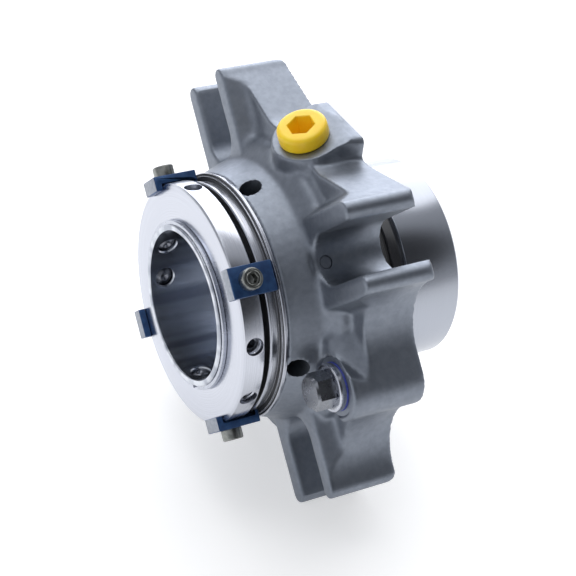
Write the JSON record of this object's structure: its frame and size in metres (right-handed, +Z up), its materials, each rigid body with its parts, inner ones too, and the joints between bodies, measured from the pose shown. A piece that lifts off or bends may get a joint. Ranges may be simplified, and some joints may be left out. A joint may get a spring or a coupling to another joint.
{
  "type": "cartridge mechanical seal",
  "caption": "Cartridge seal for a pump shaft: a cast gland with open stud slots and flush ports holds a sleeve, clamp ring, setting clips and a spring-loaded face pair.",
  "frame": {"origin": "on the shaft axis, in the plane of the gland's mounting face", "axes": "+X along the shaft from the clamp ring towards the pump, +Z up through the flush port, -Y through the side port"},
  "size_m": [0.0864, 0.1271, 0.1257],
  "materials": {
    "cast_steel": "investment cast and bead blasted",
    "turned_steel": "turned",
    "screw_steel": "satin",
    "grub_steel": "darkened",
    "spring_wire": "drawn",
    "blue_steel": "blued, satin",
    "yellow_plastic": "moulded",
    "blue_rubber": "bonded",
    "black_rubber": "moulded",
    "gasket_sheet": "cut sheet",
    "carbon": "machined, dull",
    "carbide": "lapped"
  },
  "bodies": {
    "gland_body": {"gland": "cast_steel", "flush_plug": "yellow_plastic", "side_plug": "screw_steel", "plug_washer": "blue_rubber", "gland_gasket": "gasket_sheet", "throttle_bush": "carbon", "anti_rotation_pins": "turned_steel", "springs": "spring_wire"},
    "rotor": {"sleeve": "turned_steel", "shaft_o_ring": "black_rubber", "clamp_ring": "turned_steel", "snap_ring": "spring_wire", "grub_screws": "grub_steel", "setting_clip_1": "blue_steel", "setting_clip_2": "blue_steel", "setting_clip_3": "blue_steel", "setting_clip_4": "blue_steel", "clip_screws": "screw_steel", "rotary_holder": "turned_steel", "rotary_face": "carbide", "rotary_o_ring": "black_rubber", "drive_pins": "turned_steel"},
    "floating_face": {"stationary_holder": "turned_steel", "stationary_face": "carbon", "stationary_o_ring": "black_rubber"}
  },
  "joints": [
    {"name": "rotor_spin", "type": "hinge", "parent": "gland_body", "child": "rotor", "pos_m": [0, 0, 0], "axis": [1, 0, 0], "continuous": true},
    {"name": "face_float", "type": "slide", "parent": "gland_body", "child": "floating_face", "axis": [1, 0, 0], "range_m": [-0.0015, 0], "stiffness_N_per_m": 3000, "springref_m": 0.002, "deforming": ["springs"]}
  ]
}
